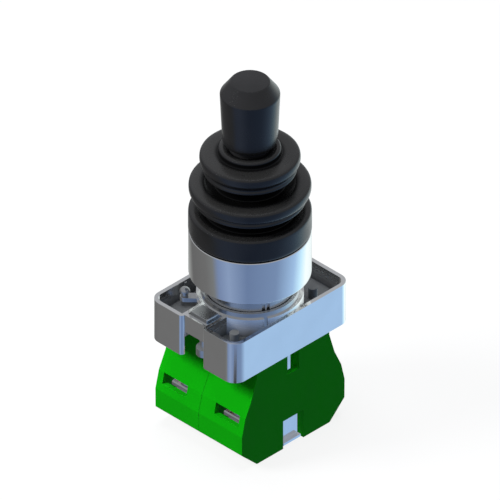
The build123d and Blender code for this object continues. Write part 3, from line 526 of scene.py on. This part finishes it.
# Bezel ring
# The bright plated ring that the operator sees: turned from brass, polished and plated, with
# a fine rounded upper edge. It is held under the cup and seats on the front of the panel.
bright_plating = finish_of("bright_plating", (0.92, 0.92, 0.92), 0.09, spread=0.02, metallic=1.0,
                           grains=900.0, depth=0.015, shift=0.015, edge_highlight_share=0.0)
bezel_outline = [(11.05, 0.0), (15.15, 0.0), (15.15, 12.2), (13.05, 12.2), (13.05, 3.0),
                 (11.05, 3.0)]
bezel = turned_piece("bezel", rounded(bezel_outline, 0.35), bright_plating, 192)
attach(bezel, "base")
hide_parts("bezel_ring")


# Panel gasket
# A flat ring of grey rubber in a groove under the bezel. It is squeezed against the panel when
# the clamp is tightened.
gasket_rubber = finish_of("gasket_rubber", (0.06, 0.06, 0.065), 0.7, depth=0.4, edge_highlight_share=0.0)


def dressed(material, *nodes):
    """Gives solids of the construction, which stay as they are, a finish."""
    for node in nodes:
        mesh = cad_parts[node].data
        mesh.materials.clear()
        mesh.materials.append(material)


dressed(gasket_rubber, "panel_gasket")


# Head body
# The round neck that passes through the panel, with the cup that the boot's base ring grips.
# A zinc die casting, plated dull, with two small key slots and the grooves of the bayonet.
weld_gap = 0.002 * mm
flat_angle = math.radians(1.0)
neck_casting = finish_of("neck_casting", (0.62, 0.63, 0.64), 0.28, spread=0.05, metallic=1.0,
                         grains=1500.0, depth=0.05, shift=0.05)


def mark_edge_highlight(mesh, edge_slot):
    """Marks the points inside the rounded edges, where a painted highlight lightens the colour."""
    on_flat = [False] * len(mesh.vertices)
    for face in mesh.polygons:
        if face.material_index != edge_slot:
            for index in face.vertices:
                on_flat[index] = True
    mask = mesh.attributes.new("painted_edge_highlight", "FLOAT", "POINT")
    mask.data.foreach_set("value", [0.0 if flat else 1.0 for flat in on_flat])


def with_soft_edges(name, node, body, width, material, sharp_over=30.0):
    """A copy of a solid whose edges are rounded a little, as a mould or a press leaves them."""
    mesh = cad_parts[node].data.copy()
    piece = bpy.data.objects.new(name, mesh)
    bpy.context.scene.collection.objects.link(piece)
    work = bmesh.new()
    work.from_mesh(mesh)
    bmesh.ops.remove_doubles(work, verts=work.verts, dist=weld_gap)
    bmesh.ops.dissolve_limit(work, angle_limit=flat_angle, verts=work.verts, edges=work.edges)
    work.to_mesh(mesh)
    work.free()
    mesh.materials.clear()
    mesh.materials.append(material)
    mesh.materials.append(material)
    mesh.polygons.foreach_set("material_index", [0] * len(mesh.polygons))
    bevel = piece.modifiers.new("edges", "BEVEL")
    bevel.width = width * mm
    bevel.segments = 3
    bevel.limit_method = "ANGLE"
    bevel.angle_limit = math.radians(sharp_over)
    bevel.material = 1
    made_plain(piece)
    # Painted highlight on the rounded edges.
    mark_edge_highlight(piece.data, 1)
    piece.data.polygons.foreach_set("material_index", [0] * len(piece.data.polygons))
    piece.data.materials.pop()
    smooth_shaded(piece, 40.0)
    even = piece.modifiers.new("even", "WEIGHTED_NORMAL")
    even.keep_sharp = True
    made_plain(piece)
    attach(piece, body)
    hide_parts(node)
    return piece


with_soft_edges("head_neck", "head_body", "base", 0.08, neck_casting)


# Fixing collar
# The rectangular zinc die casting behind the panel: an open tray round a ring, with corner
# posts, side ribs and an end channel for the clamp. Its outside is polished and plated, and
# the tray is left dull as it comes from the die, with painted shade making it darker.
# Painted shade: down in the tray the casting is painted darker; its rougher, less metallic finish
# there is the dull as-cast surface.
tray_shade_tone = (0.170, 0.179, 0.187)
tray_roughness_rise = 0.38
tray_metallic = 0.12


def casting_finish():
    """A polished casting that turns dull down in its tray, and darker there by painted shade."""
    material = finish_of("polished_casting", (0.92, 0.92, 0.92), 0.10, spread=0.02,
                         metallic=1.0, grains=1500.0, depth=0.02, shift=0.02, edge_highlight_share=0.0)
    tree = material.node_tree
    shader = tree.nodes["Principled BSDF"]
    grain = shader.inputs["Normal"].links[0].from_node
    tone = shader.inputs["Base Color"].links[0].from_node
    depth, shade_tone_mix, darker, rougher, bare = add_nodes(
        tree, "ShaderNodeAttribute", "ShaderNodeMixRGB", "ShaderNodeMixRGB", "ShaderNodeMath",
        "ShaderNodeMapRange")
    depth.attribute_name = "tray_dull_and_shade"
    shade_tone_mix.inputs["Color1"].default_value = (1, 1, 1, 1)
    shade_tone_mix.inputs["Color2"].default_value = (*tray_shade_tone, 1)
    tree.links.new(depth.outputs["Fac"], shade_tone_mix.inputs["Fac"])
    darker.blend_type = "MULTIPLY"
    darker.inputs["Fac"].default_value = 1.0
    tree.links.new(tone.outputs["Color"], darker.inputs["Color1"])
    tree.links.new(shade_tone_mix.outputs["Color"], darker.inputs["Color2"])
    tree.links.new(darker.outputs["Color"], shader.inputs["Base Color"])
    rougher.operation = "MULTIPLY_ADD"
    rougher.inputs[1].default_value = tray_roughness_rise
    tree.links.new(depth.outputs["Fac"], rougher.inputs[0])
    tree.links.new(grain.outputs["Roughness"], rougher.inputs[2])
    tree.links.new(rougher.outputs[0], shader.inputs["Roughness"])
    tree.links.new(depth.outputs["Fac"], bare.inputs["Value"])
    bare.inputs["To Min"].default_value = 1.0
    bare.inputs["To Max"].default_value = tray_metallic
    tree.links.new(bare.outputs["Result"], shader.inputs["Metallic"])
    return material


polished_casting = casting_finish()
collar = with_soft_edges("fixing_collar", "collar_frame", "base", 0.26,
                         polished_casting)
collar_low, collar_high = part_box("collar_frame")
collar_wall = 1.1 * mm
recess_half_x, recess_y = 3.7 * mm, collar_low.y + 1.7 * mm
dull_shade_from, dull_shade_over = 0.20 * mm, 0.05 * mm


def tray_dull_and_shade(point):
    """Dull finish and painted shade: 0 on the outside and the rim, 1 down in the tray."""
    from_side = min(collar_high.x - abs(point.x), collar_high.y - abs(point.y))
    in_recess = abs(point.x) < recess_half_x and point.y < recess_y
    if from_side < collar_wall * 0.6 or in_recess:
        return 0.0
    return min(max((collar_high.z - dull_shade_from - point.z) / dull_shade_over, 0.0), 1.0)


tray_dull_and_shade_mask = collar.data.attributes.new("tray_dull_and_shade", "FLOAT", "POINT")
tray_dull_and_shade_mask.data.foreach_set("value", [tray_dull_and_shade(v.co) for v in collar.data.vertices])
collar.visible_glossy = False    # keeps its corners out of the bezel's mirror image


# Lock ring and its knob
# A pressed and plated steel ring turns round the neck in the collar and holds the head with
# three teeth. Its arm reaches through the collar's ring, and a round-headed steel knob is
# riveted to its end.
plated_steel = finish_of("zinc_plated_steel", (0.58, 0.59, 0.60), 0.30, spread=0.06,
                         metallic=1.0, grains=2500.0, depth=0.08, shift=0.08)
with_soft_edges("lock_ring_part", "lock_ring", "lock", 0.12, plated_steel)
with_soft_edges("lock_ring_knob", "lock_knob", "lock", 0.1, plated_steel)


# Clamp foot and screw
# A pressed steel foot slides in the collar's end channel. A slotted steel screw, turned from
# behind, pushes it against the back of the panel.
with_soft_edges("clamp_foot_part", "clamp_foot", "clamp", 0.12,
                plated_steel)
with_soft_edges("clamp_screw_part", "clamp_screw", "clamp", 0.15,
                plated_steel)


# Contact block housings
# Two boxes of green moulded plastic side by side under the collar, one for each direction.
# Each has a wire slot and a screwdriver hole at either end and a notch for its latch clip.
green_plastic = finish_of("green_plastic", (0.0045, 0.44, 0.0045), 0.42, grains=3500.0,
                          depth=0.12, shift=0.03, edge_highlight_share=0.15, gloss=0.04)
sides = ("right", "left")
for side in sides:
    case = with_soft_edges("block_case_" + side, "block_housing_" + side, "base",
                           0.26, green_plastic)
    case.visible_glossy = False    # a plainer mirror image in the clips and the bezel


# Block covers
# A black moulded cover closes each housing from above, inside the collar. Its tube guides the
# plunger.
black_plastic = finish_of("inner_black_plastic", (0.020, 0.020, 0.022), 0.45)
for side in sides:
    dressed(black_plastic, "block_cover_" + side)


# Latch clips
# A strip of bright spring steel runs through each housing. Its hook holds the block in the
# collar, and its wide foot shows in the notch where a thumb or a screwdriver frees it.
spring_steel = finish_of("spring_steel", (0.80, 0.83, 0.88), 0.16, spread=0.04, metallic=1.0,
                         grains=1800.0, depth=0.03, shift=0.05)
for side in sides:
    with_soft_edges("snap_clip_" + side, "latch_clip_" + side, "base", 0.10,
                    spring_steel)


# Wire clamps
# A plated steel plate in each wire slot presses the wire against the contact. Fine ridges are
# pressed into its face, on both sides of the screw.
with_soft_edges("wire_clamps", "terminal_clamps", "base", 0.1,
                plated_steel)


def ridge_tree():
    """A short row of three-sided ridges on every point of the mesh, along X."""
    tree = bpy.data.node_groups.new("ridge_row", "GeometryNodeTree")
    face = tree.interface
    face.new_socket("Geometry", in_out="INPUT", socket_type="NodeSocketGeometry")
    for name, kind in (("Ridges", "NodeSocketInt"), ("Pitch", "NodeSocketFloat"),
                       ("Ridge Height", "NodeSocketFloat"), ("Ridge Length", "NodeSocketFloat"),
                       ("Material", "NodeSocketMaterial")):
        face.new_socket(name, in_out="INPUT", socket_type=kind)
    face.new_socket("Geometry", in_out="OUTPUT", socket_type="NodeSocketGeometry")
    start, end, line, step, rows, rows_real, ridge, lay, place, real, finish = add_nodes(
        tree, "NodeGroupInput", "NodeGroupOutput", "GeometryNodeMeshLine",
        "ShaderNodeCombineXYZ", "GeometryNodeInstanceOnPoints", "GeometryNodeRealizeInstances",
        "GeometryNodeMeshCylinder", "GeometryNodeTransform", "GeometryNodeInstanceOnPoints",
        "GeometryNodeRealizeInstances", "GeometryNodeSetMaterial")
    link = tree.links.new
    link(start.outputs["Ridges"], line.inputs["Count"])
    link(start.outputs["Pitch"], step.inputs["X"])
    link(step.outputs["Vector"], line.inputs["Offset"])
    link(start.outputs["Geometry"], rows.inputs["Points"])
    link(line.outputs["Mesh"], rows.inputs["Instance"])
    link(rows.outputs["Instances"], rows_real.inputs["Geometry"])
    ridge.inputs["Vertices"].default_value = 3
    link(start.outputs["Ridge Height"], ridge.inputs["Radius"])
    link(start.outputs["Ridge Length"], ridge.inputs["Depth"])
    link(ridge.outputs["Mesh"], lay.inputs["Geometry"])
    lay.inputs["Rotation"].default_value = (math.pi / 2, math.pi / 6, 0)
    link(rows_real.outputs["Geometry"], place.inputs["Points"])
    link(lay.outputs["Geometry"], place.inputs["Instance"])
    link(place.outputs["Instances"], real.inputs["Geometry"])
    link(real.outputs["Geometry"], finish.inputs["Geometry"])
    link(start.outputs["Material"], finish.inputs["Material"])
    link(finish.outputs["Geometry"], end.inputs["Geometry"])
    return tree


plates_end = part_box("terminal_clamps")[1]
plate_half_x, plate_half_y = 3.5 * mm, 2.2 * mm
ridge_pitch, ridge_height, ridges = 0.5 * mm, 0.2 * mm, 3
ridge_sink, ridge_margin = 0.04 * mm, 0.4 * mm
row_offsets = (-3.1 * mm, 2.1 * mm)
row_starts = []
for x_side in (1, -1):
    for y_end in (1, -1):
        plate_x = x_side * (plates_end.x - plate_half_x)
        plate_y = y_end * (plates_end.y - plate_half_y)
        row_starts += [(plate_x + offset, plate_y, plates_end.z - ridge_sink)
                       for offset in row_offsets]
row_mesh = bpy.data.meshes.new("wire_clamp_ridges")
row_mesh.from_pydata(row_starts, [], [])
ridge_piece = bpy.data.objects.new("wire_clamp_ridges", row_mesh)
bpy.context.scene.collection.objects.link(ridge_piece)
rows = ridge_piece.modifiers.new("ridges", "NODES")
rows.node_group = ridge_tree()
set_input(rows, "Ridges", ridges)
set_input(rows, "Pitch", ridge_pitch)
set_input(rows, "Ridge Height", ridge_height)
set_input(rows, "Ridge Length", 2 * (plate_half_y - ridge_margin))
set_input(rows, "Material", plated_steel)
faced_outwards(made_plain(ridge_piece))
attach(ridge_piece, "base")


# Terminal screws
# Four slotted steel screws, reached through the holes under the housings, pull the clamps up.
with_soft_edges("wire_clamp_screws", "terminal_screws", "base", 0.12,
                plated_steel)


# Plungers
# A white moulded plunger slides in each cover's tube and carries the contact bridge in its
# window.
white_plastic = finish_of("inner_white_plastic", (0.70, 0.69, 0.65), 0.45, shift=0.05)
for side in sides:
    dressed(white_plastic, "plunger_" + side)


# Contacts
# A copper bridge with two rivets crosses each plunger's window and closes on the copper strips
# that lead to the wire clamps.
contact_copper = finish_of("contact_copper", (0.75, 0.42, 0.27), 0.3, metallic=1.0, shift=0.08)
for side in sides:
    dressed(contact_copper, "contact_bridge_" + side, "fixed_contact_" + side + "_rear",
            "fixed_contact_" + side + "_front")


# Springs
# Six coiled springs of bright steel wire: one under each pusher's head, one over each bridge
# and one under each plunger.
def working_spring(name, node):
    """A copy of a spring in bright spring steel, smooth shaded and baked in place."""
    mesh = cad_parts[node].data.copy()
    mesh.materials.clear()
    mesh.materials.append(spring_steel)
    piece = bpy.data.objects.new(name, mesh)
    bpy.context.scene.collection.objects.link(piece)
    smooth_shaded(piece, 50.0)
    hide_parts(node)
    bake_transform(piece)


for side in sides:
    working_spring("pusher_coil_" + side, "centring_spring_" + side)
    working_spring("plunger_coil_" + side, "return_spring_" + side)
    dressed(spring_steel, "bridge_spring_" + side)


# Guide plate and its screws
# A black moulded disc in the neck guides the two pushers. Two small plated screws hold it down
# on its ledge.
dressed(black_plastic, "guide_plate")
dressed(plated_steel, "guide_plate_screws")


# Head pushers
# Two turned steel pins with wide heads pass the rocker's stroke through the guide plate to the
# plungers.
turned_steel = finish_of("turned_steel", (0.60, 0.61, 0.63), 0.28, metallic=1.0, shift=0.06)
dressed(turned_steel, "head_pusher_right", "head_pusher_left")


# Rocker and pivot
# The zinc rocker turns on a steel pin in two white plastic bushes, which are pressed into its
# hub. Its two pads rest on the pushers.
dressed(neck_casting, "rocker")
dressed(turned_steel, "pivot_pin")
dressed(white_plastic, "pivot_bushes")


# Lever shaft and roll pin
# The turned steel shaft stands in the rocker's socket, where a rolled spring pin crosses both.
dressed(turned_steel, "lever_shaft")
dressed(spring_steel, "rocker_roll_pin")


# Sleeve, nut and handle insert
# The boot's lip grips the black plastic sleeve under the handle. A plated hexagon nut locks the
# sleeve and the handle's brass insert on the shaft's thread.
turned_brass = finish_of("turned_brass", (0.78, 0.57, 0.25), 0.28, metallic=1.0, shift=0.06)
dressed(black_plastic, "lip_sleeve")
dressed(plated_steel, "handle_lock_nut")
dressed(turned_brass, "handle_insert")


# Boot stiffener
# A thin ring of sheet steel is moulded into the boot's base ring and keeps it round.
dressed(spring_steel, "boot_stiffener")
